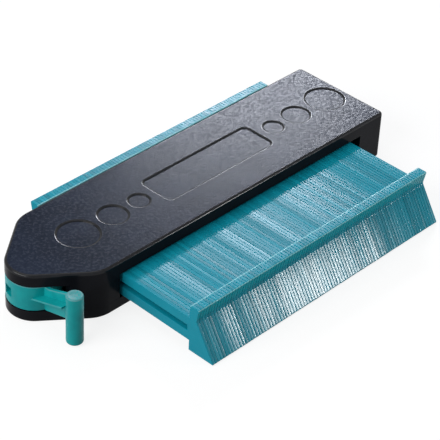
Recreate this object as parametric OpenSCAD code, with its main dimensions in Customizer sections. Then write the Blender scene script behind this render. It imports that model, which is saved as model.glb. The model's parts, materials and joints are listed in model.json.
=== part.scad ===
// Contour gauge: a stack of sliding laminae in a two-part moulded housing,
// clamped from one end by a snail cam on a lever in the nose of the housing.
// X runs along the stack, Y along the laminae with the front at -Y, Z is up.
// The origin is on the underside of the housing, below the middle of the stack.

/* [Lamina stack] */
// Pairs of laminae side by side across the gauge
pair_count = 44; // [16:1:48]
// Thickness of one lamina
lamina_t = 1.3; // [1:0.05:1.5]
// Free gap between neighbouring laminae
lamina_gap = 0.06; // [0.04:0.01:0.1]
// How far a lamina slides back through the housing
travel = 32; // [20:1:40]

/* [Lamina outline] */
// Height of each of the two long bars
bar_h = 3.7; // [3:0.1:5]
// Height of the guide slot between the bars
slot_h = 2.3; // [2.2:0.1:3]
// Solid end between the guide slot and a head
slot_end = 1; // [0.5:0.1:3]
// Width of the finger lip on top of a head
lip_w = 4.2; // [3:0.1:6]
// Depth of the head at its neck, under the lip
neck_w = 3.1; // [2.2:0.1:4]
// Drop from the lip to the neck
neck_drop = 5.4; // [3:0.1:7]
// Reach of the scribing tip in front of the head's rear face
tip_reach = 11.4; // [8:0.1:16]
// Height of the flat on the scribing tip
tip_h = 0.5; // [0.3:0.1:1]
// Rounding of the lip's front edge
lip_edge_r = 0.5; // [0.2:0.1:1]
// Fillet in the neck under the lip
neck_r = 1.5; // [0.5:0.1:2]
// Height of the heads above the surface the gauge lies on
head_lift = 0.4; // [0.2:0.1:1]
// Drop from the top of the housing to the top of the lips
lip_drop = 0.5; // [0.2:0.1:2]

/* [Housing] */
// Width of the housing along the laminae
body_w = 43.6; // [38:0.2:50]
// Height of the lower shell
base_h = 4.4; // [4:0.1:6]
// Height of the upper shell above the laminae
cover_h = 5.5; // [5:0.1:7]
// Wall of both shells
wall_t = 2.2; // [1.6:0.1:2.4]
// Housing wall left of the stack, out to the edge of the opening
opening_left = 1.2; // [0.8:0.1:2]
// Free width of the opening right of the stack
opening_right = 5.4; // [4:0.1:8]
// Length of the closed end right of the opening
end_block = 13.3; // [12:0.1:18]
// Rounding of the upper edge
top_edge_r = 1; // [0.5:0.1:1.5]
// Rounding of the lower edge
base_edge_r = 0.6; // [0.3:0.1:1]
// Rounding of the two upright corners at the closed end
end_corner_r = 1.8; // [1.6:0.1:4]
// Rounding of the two shoulders where the nose begins to taper
shoulder_r = 12; // [8:0.5:16]
// Thickness of the ribs inside the shells
rib_t = 1.6; // [1.2:0.1:2]
// Number of rib bays over and under the stack
bay_count = 6; // [3:1:8]

/* [Nose] */
// Distance from the left end of the stack to the lever's pivot
pivot_back = 21.2; // [20:0.1:26]
// Radius of the rounded nose about the pivot
nose_r = 10.3; // [9.5:0.1:12]
// Angle between the tapered walls and the long axis
taper_a = 38; // [32:1:44]
// Height of the upper lip of the nose over the lever
nose_lip_h = 4.9; // [4.6:0.1:6]
// Distance from the pivot to the end of the lever's opening in the side walls
opening_past_pivot = 3; // [1:0.1:5]

/* [Top face] */
// Depth of the moulded recesses in the top face
recess_d = 0.5; // [0.2:0.1:0.8]
// Middle of the recess pattern along the stack
recess_x = 3.8; // [0:0.1:6]
// Length of the bare panel
panel_l = 55; // [40:0.5:58]
// Width of the bare panel
panel_w = 15.6; // [10:0.2:20]
// Corner rounding of the bare panel
panel_r = 2.6; // [1:0.1:5]
// Diameter of the smallest round recess
disc_d = 8.2; // [6:0.1:9]
// Growth from one round recess to the next
disc_growth = 1.39; // [1.2:0.01:1.42]
// Land between two round recesses
disc_land = 2.95; // [2:0.05:4]
// Distance from the middle of the pattern to the smallest round recess
disc_first = 35.3; // [33:0.1:36]
// Number of round recesses on each side of the panel
disc_count = 3; // [1:1:3]

/* [Lever] */
// Radius of the lever's drum
drum_r = 10.2; // [9.4:0.1:10.2]
// Rise of the cam for each radian that the lever turns
cam_rise = 0.72; // [0.4:0.02:0.9]
// Swing of the lever from clamped to free
lever_swing = 95; // [60:1:95]
// Distance from the pivot to the finger peg towards the front
peg_front = 24.8; // [20:0.1:30]
// Distance from the pivot to the finger peg towards the nose
peg_side = 3.9; // [3:0.1:5]
// Diameter of the finger peg
peg_d = 6.2; // [5:0.1:8]
// Height of the finger peg
peg_h = 20; // [16:0.1:24]
// Depth of the dished top of the finger peg
peg_dish = 0.3; // [0.1:0.1:0.6]
// Rounding of the finger peg's top edge
peg_top_r = 0.6; // [0.2:0.1:0.8]
// Rounding of the finger peg's foot
peg_foot_r = 0.8; // [0.4:0.1:1.2]
// Thickness of the arm's web
web_t = 1.6; // [1.2:0.1:2.2]
// Thickness of the rib along the arm's web
arm_rib_t = 0.7; // [0.6:0.1:1.6]
// Width of that rib in front of the web
arm_rib_w = 3.7; // [2:0.1:4.2]
// Slope of that rib
arm_rib_a = 18.6; // [12:0.2:24]
// Height of that rib's upper side above the middle of the drum, where it leaves the nose
arm_rib_up = 1.6; // [0:0.1:2]
// Distance from that rib's end to the axis of the finger peg
arm_rib_end = 2.6; // [1:0.1:4]
// Wall of the cored drum
drum_wall = 2; // [1.4:0.1:2.4]
// Floor between the upper and the lower core of the drum
drum_floor = 1.8; // [1.2:0.1:2.4]
// Room of the arm inside the height of the drum
arm_inset = 0.1; // [0.1:0.1:0.6]
// Drop from the top of the finger peg to the top of the arm
arm_drop = 0.6; // [0.2:0.1:2]
// Growth of the arm's height from the drum to the finger peg
arm_growth = 1.1; // [0:0.1:2]
// Direction of the pocket in the drum, seen from the pivot
pocket_a = 166; // [156:1:196]
// Width of the pocket in the drum
pocket_w = 4; // [2:0.1:5]
// Height of the pocket in the drum
pocket_h = 4; // [2:0.1:6]
// Depth of the pocket in the drum
pocket_d = 1.8; // [1:0.1:2]

/* [Clamp and guides] */
// Diameter of the lever's pivot pin
pin_d = 4; // [3:0.1:5]
// Depth of the pin's seat in each shell
pin_seat = 2.9; // [2:0.1:3]
// Diameter of the two guide rods
rod_d = 2.1; // [1.6:0.05:2.1]
// Distance of the guide rods from the middle of the housing
rod_y = 10; // [8:0.1:10.5]
// Length of the rod seats at each end
rod_seat = 5.4; // [4:0.1:6]
// Width of the rod saddles
saddle_w = 4; // [3.4:0.1:4.2]
// Thickness of the clamp plate
plate_t = 3; // [2.4:0.1:3]
// Width of the clamp plate along the laminae
plate_w = 34; // [28:0.5:36]
// Width of the follower on the clamp plate
follower_w = 9; // [6:0.5:9]
// Width of the stop that the stack is clamped against
stop_w = 32; // [26:0.5:36]

/* [Screws] */
// Shank diameter of the housing screws
screw_d = 2.9; // [2.2:0.1:3.2]
// Head diameter of the housing screws
screw_head_d = 5.5; // [4.4:0.1:5.8]
// Head height of the housing screws
screw_head_h = 1.7; // [1.2:0.1:1.9]
// Length of the housing screws under the head
screw_l = 9; // [6:0.5:10]
// Outside diameter of the screw bosses
boss_d = 6.4; // [5.6:0.1:6.8]
// Distance of the screws from the middle of the housing
screw_y = 15.6; // [15.2:0.1:16]
// Distance from the pivot to the left pair of screws
screw_from_pivot = 12; // [11.5:0.1:12.5]

/* [Clearances] */
// Running room above and below the laminae
tunnel_clear = 0.2; // [0.1:0.05:0.4]
// Room between a head and the housing at the end of its travel
stop_clear = 0.4; // [0.2:0.1:1]
// Room between the lever and the nose
lever_clear = 0.3; // [0.2:0.05:0.5]
// Room between the cam and its follower
follow_clear = 0.15; // [0.1:0.05:0.3]
// Room between the clamped stack and the parts that press on it
press_clear = 0.1; // [0.05:0.05:0.2]
// Radial running clearance on the pin and the rods
run_clear = 0.06; // [0.03:0.01:0.1]
// Radial room of a fixed pin, rod or screw in its seat
seat_clear = 0.03; // [0.02:0.01:0.1]
// Radial room of a screw and its head in the lower shell
screw_clear = 0.2; // [0.1:0.05:0.3]
// Gap between the two shells inside the housing
split_clear = 0.1; // [0.05:0.05:0.2]

/* [Hidden] */
cut = 1;
fine = 48;
edge_steps = 3;
pitch = lamina_t + lamina_gap;
stack_w = 2 * pair_count * pitch;
band_h = 2 * bar_h + slot_h;
band_z = base_h + tunnel_clear;
tunnel_top = band_z + band_h + tunnel_clear;
body_h = tunnel_top + cover_h;
rod_z = band_z + band_h / 2;
lip_z = body_h - lip_drop;
neck_z = lip_z - neck_drop;
back_y = body_w / 2 + stop_clear;
front_y = -back_y - travel;
opening_x0 = -stack_w / 2 - opening_left;
opening_x1 = stack_w / 2 + opening_right;
end_x = opening_x1 + end_block;
pivot_x = -stack_w / 2 - pivot_back;
side_y = body_w / 2;
shoulder_x = pivot_x + (cos(taper_a) * (side_y - shoulder_r) + shoulder_r - nose_r) / sin(taper_a);
taper_y = nose_r / cos(taper_a);
nose_gap_top = body_h - nose_lip_h;
drum_z0 = base_h + lever_clear;
drum_z1 = nose_gap_top - lever_clear;
drum_mid = (drum_z0 + drum_z1) / 2;
drum_a = 225;
drum_from = drum_a - 90;
drum_to = drum_a + 90;
arm_root_y = -drum_r / 2;
arm_out_y = -max(nose_r, taper_y - (peg_side - web_t) * tan(taper_a)) - lever_clear;
cam_rest = drum_r - cam_rise * (360 - drum_to) * PI / 180;
cam_step = 3;
plate_x1 = -stack_w / 2 - press_clear;
plate_x0 = plate_x1 - plate_t;
plate_back = cam_rise * lever_swing * PI / 180;
saddle_x1 = plate_x0 - plate_back - lever_clear;
saddle_x0 = saddle_x1 - rod_seat;
stop_x = stack_w / 2 + press_clear;
rod_x1 = opening_x1 + wall_t - lever_clear;
screw_x0 = pivot_x + screw_from_pivot;
screw_x1 = end_x - end_block / 2;
screw_seat_z = base_h - wall_t;
panel_corner_x = panel_l / 2 - panel_r;
panel_corner_y = panel_w / 2 - panel_r;

pair_names = [for (i = [1:pair_count]) str("lamina_pair_", i < 10 ? "0" : "", i)];

// Points of a corner rounded with radius r
function unit(v) = v / norm(v);
function wrap(a) = a - 360 * round(a / 360);
function on_circle(r, a) = r * [cos(a), sin(a)];
function round_corner(before, at, after, r, steps = 4) =
    let (u = unit(before - at),
         v = unit(after - at),
         half = acos(u * v) / 2,
         centre = at + unit(u + v) * r / sin(half),
         first = at + u * r / tan(half) - centre,
         last = at + v * r / tan(half) - centre,
         a = atan2(first.y, first.x),
         sweep = wrap(atan2(last.y, last.x) - a))
    [for (i = [0:steps]) centre + on_circle(r, a + sweep * i / steps)];

// Extrude an outline drawn in Y and Z along X
module along_x(x, length) {
    translate([x, 0, 0]) rotate([90, 0, 90]) linear_extrude(length) children();
}

// A box from its lower and upper corners
module block(low, high) {
    translate(low) cube(high - low);
}

// A thing and its mirror image across the long axis
module both_sides() {
    children();
    mirror([0, 1, 0]) children();
}

module rod_bore(y, x0, x1, r) {
    translate([x0, y, rod_z]) rotate([0, 90, 0]) cylinder(r = r, h = x1 - x0, $fn = fine);
}

// A disc with its upper or lower edge rounded, for the housing's corners
module corner_disc(r, z0, z1, upper_r, lower_r) {
    outline = concat([[0, z0]],
        lower_r > 0 ? round_corner([0, z0], [r, z0], [r, z1], lower_r, edge_steps) : [[r, z0]],
        upper_r > 0 ? round_corner([r, z0], [r, z1], [0, z1], upper_r, edge_steps) : [[r, z1]],
        [[0, z1]]);
    rotate_extrude($fn = fine) polygon(outline);
}

// The housing's outer form: a rounded nose, two shoulders and a square end
module housing_form(z0, z1, upper_r, lower_r) {
    hull() {
        translate([pivot_x, 0, 0]) corner_disc(nose_r, z0, z1, upper_r, lower_r);
        both_sides() {
            translate([shoulder_x, side_y - shoulder_r, 0]) corner_disc(shoulder_r, z0, z1, upper_r, lower_r);
            translate([end_x - end_corner_r, side_y - end_corner_r, 0])
                corner_disc(end_corner_r, z0, z1, upper_r, lower_r);
        }
    }
}

// Plan of the cam chamber in the nose, open at the tip
module chamber_plan() {
    reach = wall_t / cos(taper_a);
    slope = tan(taper_a);
    wall_x = pivot_x + opening_past_pivot;
    wall_y = taper_y + opening_past_pivot * slope - reach;
    inner_y = side_y - wall_t;
    corner_x = wall_x + (inner_y - wall_y) / slope;
    polygon([[wall_x, -wall_y], [corner_x, -inner_y], [opening_x0 + cut, -inner_y],
             [opening_x0 + cut, inner_y], [corner_x, inner_y], [wall_x, wall_y]]);
}

// Recesses between the ribs that carry the laminae
module rib_bays(z0, z1) {
    inner_y = side_y - wall_t;
    bay_l = (opening_x1 - opening_x0 - rib_t) / bay_count - rib_t;
    for (i = [0:bay_count - 1]) {
        x = opening_x0 + rib_t + i * (bay_l + rib_t);
        block([x, -inner_y, z0], [x + bay_l, inner_y, z1]);
    }
}

module screw_places() {
    both_sides() for (x = [screw_x0, screw_x1]) translate([x, screw_y, 0]) children();
}

module top_recesses() {
    translate([recess_x, 0, body_h - recess_d]) linear_extrude(recess_d + cut) {
        square([panel_l, 2 * panel_corner_y], center = true);
        square([2 * panel_corner_x, panel_w], center = true);
        for (x = [-panel_corner_x, panel_corner_x], y = [-panel_corner_y, panel_corner_y])
            translate([x, y]) circle(panel_r, $fn = fine);
    }
    for (side = [-1, 1], i = [0:disc_count - 1])
        translate([recess_x + side * disc_place(i), 0, body_h - recess_d])
            cylinder(d = disc_size(i), h = recess_d + cut, $fn = fine);
}

function disc_size(i) = disc_d * pow(disc_growth, i);
function disc_place(i) = i == 0 ? disc_first
    : disc_place(i - 1) + (disc_size(i - 1) + disc_size(i)) / 2 + disc_land;

module upper_shell() {
    rib_z = rod_z + split_clear / 2;
    color("#2b2e3a") difference() {
        union() {
            difference() {
                housing_form(base_h, body_h, top_edge_r, 0);
                block([opening_x0, -body_w, base_h - cut], [opening_x1, body_w, tunnel_top]);
                rib_bays(base_h, body_h - wall_t);
                translate([0, 0, base_h - cut]) linear_extrude(nose_gap_top - base_h + cut) chamber_plan();
                block([pivot_x - body_w, -body_w, base_h - cut],
                      [pivot_x + opening_past_pivot, body_w, nose_gap_top]);
                block([opening_x1 + wall_t, wall_t - side_y, base_h - cut],
                      [end_x - wall_t, side_y - wall_t, body_h - wall_t]);
            }
            screw_places() translate([0, 0, base_h]) cylinder(d = boss_d, h = cover_h + band_h, $fn = fine);
            both_sides()
                block([saddle_x0, rod_y - saddle_w / 2, rib_z],
                      [saddle_x1, rod_y + saddle_w / 2, body_h - wall_t]);
            block([stop_x, -stop_w / 2, rib_z], [opening_x1 + cut, stop_w / 2, body_h - wall_t]);
        }
        for (y = [-rod_y, rod_y]) rod_bore(y, saddle_x0 - cut, rod_x1, rod_d / 2 + seat_clear);
        screw_places() translate([0, 0, base_h - cut])
            cylinder(d = screw_d + 2 * seat_clear, h = screw_l + cut, $fn = fine);
        translate([pivot_x, 0, nose_gap_top - cut])
            cylinder(d = pin_d + 2 * seat_clear, h = pin_seat + cut, $fn = fine);
        top_recesses();
    }
}

module lower_shell() {
    saddle_z = rod_z - split_clear / 2;
    color("#24262f") difference() {
        union() {
            difference() {
                housing_form(0, base_h, 0, base_edge_r);
                rib_bays(wall_t, base_h + cut);
            }
            both_sides()
                block([saddle_x0, rod_y - saddle_w / 2, wall_t], [saddle_x1, rod_y + saddle_w / 2, saddle_z]);
            block([stop_x, -stop_w / 2, wall_t], [opening_x1 - split_clear, stop_w / 2, saddle_z]);
        }
        for (y = [-rod_y, rod_y]) rod_bore(y, saddle_x0 - cut, opening_x1, rod_d / 2 + seat_clear);
        screw_places() {
            translate([0, 0, -cut]) cylinder(d = screw_d + 2 * screw_clear, h = base_h + 2 * cut, $fn = fine);
            translate([0, 0, -cut])
                cylinder(d = screw_head_d + 2 * screw_clear, h = screw_seat_z + cut, $fn = fine);
        }
        translate([pivot_x, 0, base_h - pin_seat])
            cylinder(d = pin_d + 2 * seat_clear, h = base_h, $fn = fine);
    }
}

// Support distance of the cam: the follower's flat face stays this far from
// the pivot when the lever has turned by minus the angle a
function cam_reach(a) = cam_rest - cam_rise * a * PI / 180;
function cam_point(a) = cam_reach(a) * [cos(a), sin(a)] - cam_rise * [-sin(a), cos(a)];

module drum_plan(r) {
    intersection() {
        circle(r, $fn = 2 * fine);
        rotate(drum_a) translate([0, -2 * r]) square([2 * r, 4 * r]);
    }
}

module cam_plan() {
    polygon([for (a = [drum_to - 360:cam_step:drum_from]) cam_point(a)]);
}

// The upright web of the arm, level in the nose and then rising to the peg
module arm_web() {
    high = peg_h + head_lift - arm_drop;
    low = drum_z0 + arm_inset;
    low_end = low + high - drum_z1 - arm_growth;
    along_x(pivot_x - peg_side, web_t)
        polygon([[arm_root_y, low], [-nose_r, low], [-peg_front, low_end],
                 [-peg_front, high], [arm_out_y, drum_z1], [arm_root_y, drum_z1]]);
}

// The sloping rib in front of the web
module arm_rib() {
    end_y = arm_rib_end - peg_front;
    slope = tan(arm_rib_a);
    nose_z = drum_mid + arm_rib_up;
    root_z = nose_z - (nose_r + arm_root_y) * slope;
    end_z = nose_z - (nose_r + end_y) * slope;
    along_x(pivot_x - peg_side - arm_rib_w, arm_rib_w + web_t)
        polygon([[arm_root_y, root_z - arm_rib_t], [end_y, end_z - arm_rib_t],
                 [end_y, end_z], [arm_root_y, root_z]]);
}

// The upright finger peg with its rounded foot and dished top
module peg() {
    r = peg_d / 2;
    rim_r = r - 2 * peg_top_r;
    outline = concat([[0, 0]],
        round_corner([0, 0], [r, 0], [r, peg_h], peg_foot_r),
        round_corner([r, 0], [r, peg_h], [rim_r, peg_h], peg_top_r),
        [[rim_r, peg_h], [r / 2, peg_h - peg_dish], [0, peg_h - peg_dish]]);
    translate([pivot_x - peg_side, -peg_front, head_lift]) rotate_extrude($fn = fine) polygon(outline);
}

module lever() {
    core_r = drum_r - drum_wall;
    hub_r = pin_d / 2 + drum_wall;
    color("#179a94") difference() {
        union() {
            difference() {
                translate([pivot_x, 0, drum_z0]) linear_extrude(drum_z1 - drum_z0) {
                    drum_plan(drum_r);
                    cam_plan();
                }
                for (z = [drum_z0 - cut, drum_mid + drum_floor / 2])
                    translate([pivot_x, 0, z]) linear_extrude((drum_z1 - drum_z0 - drum_floor) / 2 + cut)
                        difference() {
                            translate(on_circle(drum_wall, drum_a)) drum_plan(core_r - drum_wall);
                            circle(hub_r, $fn = fine);
                        }
            }
            arm_web();
            arm_rib();
            peg();
        }
        translate([pivot_x, 0, drum_z0 - cut])
            cylinder(d = pin_d + 2 * run_clear, h = drum_z1 - drum_z0 + 2 * cut, $fn = fine);
        translate([pivot_x, 0, drum_mid - pocket_h / 2]) rotate(pocket_a)
            translate([drum_r - pocket_d, -pocket_w / 2, 0]) cube([pocket_d + cut, pocket_w, pocket_h]);
    }
}

module lever_pin() {
    color("#b9bcc2") translate([pivot_x, 0, base_h - pin_seat])
        cylinder(d = pin_d, h = nose_gap_top - base_h + 2 * pin_seat, $fn = fine);
}

module clamp_plate() {
    z0 = band_z;
    z1 = band_z + band_h;
    face_x = pivot_x + cam_rest + follow_clear;
    color("#3a3d47") difference() {
        union() {
            block([plate_x0, -plate_w / 2, z0], [plate_x1, plate_w / 2, z1]);
            block([face_x, -follower_w / 2, z0], [plate_x0 + cut, follower_w / 2, z1]);
        }
        for (y = [-rod_y, rod_y]) rod_bore(y, plate_x0 - cut, plate_x1 + cut, rod_d / 2 + run_clear);
    }
}

module guide_rod(y) {
    color("#c3c6cb") rod_bore(y, saddle_x0, rod_x1, rod_d / 2);
}

module front_guide_rod() {
    guide_rod(-rod_y);
}

module back_guide_rod() {
    guide_rod(rod_y);
}

module housing_screws() {
    color("#8d9096") screw_places() {
        translate([0, 0, screw_seat_z - screw_head_h])
            cylinder(d = screw_head_d, h = screw_head_h, $fn = fine);
        translate([0, 0, screw_seat_z - cut]) cylinder(d = screw_d, h = screw_l + cut, $fn = fine);
    }
}

// Outline of a lamina's head, outwards from its rear face
head = concat([[0, lip_z]],
    round_corner([0, lip_z], [lip_w, lip_z], [neck_w, neck_z], lip_edge_r, 2),
    round_corner([lip_w, lip_z], [neck_w, neck_z], [tip_reach, head_lift + tip_h], neck_r),
    [[tip_reach, head_lift + tip_h], [tip_reach, head_lift], [0, head_lift]]);

module lamina_outline() {
    last = len(head) - 1;
    difference() {
        polygon(concat([for (p = head) [front_y - p.x, p.y]],
            [[front_y, band_z], [back_y, band_z]],
            [for (i = [0:last]) [back_y + head[last - i].x, head[last - i].y]],
            [[back_y, band_z + band_h], [front_y, band_z + band_h]]));
        translate([front_y + slot_end, rod_z - slot_h / 2])
            square([back_y - front_y - 2 * slot_end, slot_h]);
    }
}

module lamina_pair(index) {
    color("#1b93a5") for (i = [0, 1])
        along_x((2 * index + i) * pitch - stack_w / 2 + lamina_gap / 2, lamina_t) lamina_outline();
}

upper_shell();
lower_shell();
lever();
lever_pin();
clamp_plate();
front_guide_rod();
back_guide_rod();
housing_screws();
for (i = [0:pair_count - 1])
    lamina_pair(i);
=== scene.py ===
import json
import math
import random

import bmesh
import bpy
from mathutils import Matrix, Vector
from mathutils.geometry import tessellate_polygon

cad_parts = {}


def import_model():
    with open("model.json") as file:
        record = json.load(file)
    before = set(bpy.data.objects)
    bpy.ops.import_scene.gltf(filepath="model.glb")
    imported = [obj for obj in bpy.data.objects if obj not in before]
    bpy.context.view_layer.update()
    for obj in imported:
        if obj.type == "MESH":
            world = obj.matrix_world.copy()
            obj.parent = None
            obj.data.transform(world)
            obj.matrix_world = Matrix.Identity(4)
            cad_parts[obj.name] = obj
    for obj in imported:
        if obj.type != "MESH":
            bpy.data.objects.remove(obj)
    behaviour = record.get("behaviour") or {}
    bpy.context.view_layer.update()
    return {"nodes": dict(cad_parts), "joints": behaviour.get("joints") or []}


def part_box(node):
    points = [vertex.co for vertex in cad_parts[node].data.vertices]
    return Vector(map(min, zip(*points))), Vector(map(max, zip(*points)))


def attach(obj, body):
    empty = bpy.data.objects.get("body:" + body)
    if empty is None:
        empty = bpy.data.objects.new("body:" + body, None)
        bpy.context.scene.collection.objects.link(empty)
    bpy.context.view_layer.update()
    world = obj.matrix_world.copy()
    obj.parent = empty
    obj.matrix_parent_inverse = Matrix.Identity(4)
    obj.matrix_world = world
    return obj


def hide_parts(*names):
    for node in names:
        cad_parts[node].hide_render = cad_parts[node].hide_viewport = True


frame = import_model()

# Units and fineness
MM = 0.001
QUARTER = math.pi / 2
ARC_STEPS = 12
ROUND_STEPS = 6
SMALL_EDGE_STEPS = 3
CIRCLE_STEPS = 64
SMOOTH_ANGLE = math.radians(32)
FLAT = 0.999
FLAT_FACE_WEIGHT = 100

# The photograph's camera, fitted to the part's own frame
IMAGE_SIZE = 440
SENSOR = 36.0
FOCAL_PIXELS = 1845.48
CAMERA_AZIMUTH = math.radians(-47.58)
CAMERA_ELEVATION = math.radians(36.45)
CAMERA_ROLL = math.radians(3.05)
CAMERA_RIGHT = 7.83 * MM
CAMERA_UP = -3.7 * MM
CAMERA_DISTANCE = 690.3 * MM

# Housing: places from the frame, then its own sizes
joints = {joint["name"]: joint for joint in frame["joints"]}
upper_low, upper_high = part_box("upper_shell")
PIVOT_X = joints["lever_swing"]["pos_m"][0]
END_X = upper_high.x
SIDE_Y = upper_high.y
TOP_Z = upper_high.z
PARTING_Z = upper_low.z
NOSE_R = PIVOT_X - upper_low.x
NOSE_STEPS = 3 * ARC_STEPS
TAPER = math.radians(38)
SHOULDER_R = 12 * MM
END_CORNER_R = 1.8 * MM
TOP_EDGE_R = 1.0 * MM
BASE_EDGE_R = 0.6 * MM
SEAM_R = 0.08 * MM
MOUTH_R = 0.5 * MM
WALL = 2.2 * MM
INNER_Y = SIDE_Y - WALL
NOSE_LIP = 4.9 * MM
OPENING_PAST_PIVOT = 3.0 * MM
NOSE_GAP_TOP = TOP_Z - NOSE_LIP
RIB = 1.6 * MM
BAYS = 6
SPLIT = 0.1 * MM
CUT = 1.0 * MM

# Laminae: places from the frame, then their own sizes
PAIRS = sorted(name for name in frame["nodes"] if name.startswith("lamina_pair_"))
PER_PAIR = 2
first_low, first_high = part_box(PAIRS[0])
_, last_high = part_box(PAIRS[-1])
LAMINA_T = 1.3 * MM
LAMINA_GAP = 0.06 * MM
PITCH = LAMINA_T + LAMINA_GAP
STACK_X0 = first_low.x - LAMINA_GAP / 2
STACK_X1 = last_high.x + LAMINA_GAP / 2
HEAD_Z = first_low.z
LIP_Z = first_high.z
TIP_REACH = 11.4 * MM
FRONT_Y = first_low.y + TIP_REACH
BACK_Y = first_high.y - TIP_REACH
TIP_H = 0.5 * MM
LIP_W = 4.2 * MM
LIP_EDGE_R = 0.5 * MM
LIP_BACK_R = 0.2 * MM
LIP_BACK_W = 0.6 * MM
LIP_BACK_DROP = 0.06 * MM
LIP_SIDE = 0.14 * MM
NECK_W = 3.1 * MM
NECK_R = 1.5 * MM
NECK_DROP = 5.4 * MM
NECK_Z = LIP_Z - NECK_DROP
BAND_PLAY = 0.2 * MM
BAND_Z = PARTING_Z + BAND_PLAY
BAR_H = 3.7 * MM
SLOT_H = 2.3 * MM
SLOT_END = 1.0 * MM
BAND_TOP = BAND_Z + 2 * BAR_H + SLOT_H
LAMINA_EDGE = 0.08 * MM
HEAD_EDGE = 0.14 * MM
ROOM_LEFT = 1.2 * MM
ROOM_RIGHT = 5.4 * MM
OPENING_X0 = STACK_X0 - ROOM_LEFT
OPENING_X1 = STACK_X1 + ROOM_RIGHT
TUNNEL_TOP = BAND_TOP + BAND_PLAY

# No two laminae lie quite alike: each leans, turns and stands out a little, much like the last
LEAN = 0.045
TURN = 0.01
STAND_OUT = 0.03 * MM
LIKENESS = 0.6
LEAN_SEED = 12
HEAD_SHARE = 0.25
LIP_SHARE = 0.4
# How the whole stack leans along its length, as (place, slope)
STACK_LEAN = (
    (-60 * MM, 0.02),
    (-20 * MM, 0.02),
    (0 * MM, -0.025),
    (20 * MM, -0.025),
    (35 * MM, -0.06),
    (60 * MM, -0.12),
)

# Rods, saddles, stop and pin
SEAT_PLAY = 0.03 * MM
rod_low, rod_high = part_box("front_guide_rod")
ROD_Y = -(rod_low.y + rod_high.y) / 2
ROD_Z = (rod_low.z + rod_high.z) / 2
ROD_BORE_R = (rod_high.z - rod_low.z) / 2 + SEAT_PLAY
SADDLE_L = 5.4 * MM
SADDLE_W = 4.0 * MM
STOP_W = 32.0 * MM
STOP_PLAY = 0.1 * MM
STOP_X = STACK_X1 + STOP_PLAY
pin_low, pin_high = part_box("lever_pin")
PIN_R = (pin_high.x - pin_low.x) / 2
PIN_SEAT_R = PIN_R + SEAT_PLAY

# Screws
screw_low, screw_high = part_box("housing_screws")
SCREW_HEAD_R = 2.75 * MM
SCREW_HEAD_H = 1.7 * MM
SCREW_EDGE = 0.5 * MM
SCREW_R = 1.45 * MM
SCREW_TIP_R = SCREW_R / 4
SCREW_ROOM = 0.2 * MM
SCREW_XS = (screw_low.x + SCREW_HEAD_R, screw_high.x - SCREW_HEAD_R)
SCREW_Y = screw_high.y - SCREW_HEAD_R
SCREW_PLACES = [(x, side * SCREW_Y) for x in SCREW_XS for side in (-1, 1)]
SCREW_SEAT_Z = PARTING_Z - WALL
SCREW_HEAD_Z = SCREW_SEAT_Z - SCREW_HEAD_H
BOSS_R = 3.2 * MM
CROSS_L = 3.2 * MM
CROSS_W = 0.7 * MM
CROSS_D = 1.1 * MM
CROSS_OUT = 0.1 * MM
CROSS_TAPER = 0.6

# Recesses in the top face
RECESS = 0.5 * MM
RECESS_RIM_R = 1.1 * MM
RECESS_X = 3.8 * MM
PANEL_L = 55.0 * MM
PANEL_W = 15.6 * MM
PANEL_R = 2.6 * MM
DISC_D = 8.2 * MM
DISC_GROWTH = 1.39
DISC_LAND = 2.95 * MM
DISC_FIRST = 35.3 * MM
DISCS = 3

# Lever: drum, cam and pocket
lever_low, lever_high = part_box("lever")
LEVER_PLAY = 0.06 * MM
LEVER_BORE_R = PIN_R + LEVER_PLAY
DRUM_R = 10.2 * MM
DRUM_PLAY = 0.3 * MM
DRUM_Z0 = PARTING_Z + DRUM_PLAY
DRUM_Z1 = NOSE_GAP_TOP - DRUM_PLAY
DRUM_MID = (DRUM_Z0 + DRUM_Z1) / 2
DRUM_FACE = math.radians(225)
DRUM_FROM = DRUM_FACE - QUARTER
DRUM_TO = DRUM_FACE + QUARTER
DRUM_STEPS = 4 * ARC_STEPS
DRUM_WALL = 2.0 * MM
DRUM_FLOOR = 1.8 * MM
DRUM_EDGE = 0.35 * MM
HUB_R = PIN_R + DRUM_WALL
HUB_STEPS = 2 * ROUND_STEPS
CAM_RISE = 0.72 * MM
CAM_REST = DRUM_R - CAM_RISE * (math.tau - DRUM_TO)
POCKET_W = 4.0 * MM
POCKET_H = 4.0 * MM
POCKET_D = 1.8 * MM
POCKET_TURN = math.radians(166)

# Lever: peg and arm
PEG_R = 3.1 * MM
PEG_SIDE = 3.9 * MM
PEG_X = PIVOT_X - PEG_SIDE
PEG_Y = -24.8 * MM
PEG_Z0 = lever_low.z
PEG_Z1 = lever_high.z
PEG_TOP_R = 0.6 * MM
PEG_FOOT_R = 0.8 * MM
PEG_RIM_R = PEG_R - 2 * PEG_TOP_R
PEG_DISH = 0.3 * MM
PEG_DISH_MID_R = PEG_RIM_R * 0.8
PEG_DISH_END_R = PEG_RIM_R * 0.5
ARM_DROP = 0.6 * MM
ARM_INSET = 0.1 * MM
ARM_GROWTH = 1.1 * MM
ARM_EDGE = 0.35 * MM
ARM_PLAY = 0.3 * MM
ARM_WEB = 1.6 * MM
ARM_ROOT_Y = -DRUM_R / 2
NOSE_FLANK_Y = NOSE_R / math.cos(TAPER) - (PEG_SIDE - ARM_WEB) * math.tan(TAPER)
ARM_OUT_Y = -max(NOSE_R, NOSE_FLANK_Y) - ARM_PLAY
ARM_RIB_T = 0.7 * MM
ARM_RIB_W = 3.7 * MM
ARM_RIB_SLOPE = math.tan(math.radians(18.6))
ARM_RIB_UP = 1.6 * MM
ARM_RIB_END = 2.6 * MM
ARM_RIB_EDGE = 0.2 * MM

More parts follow.
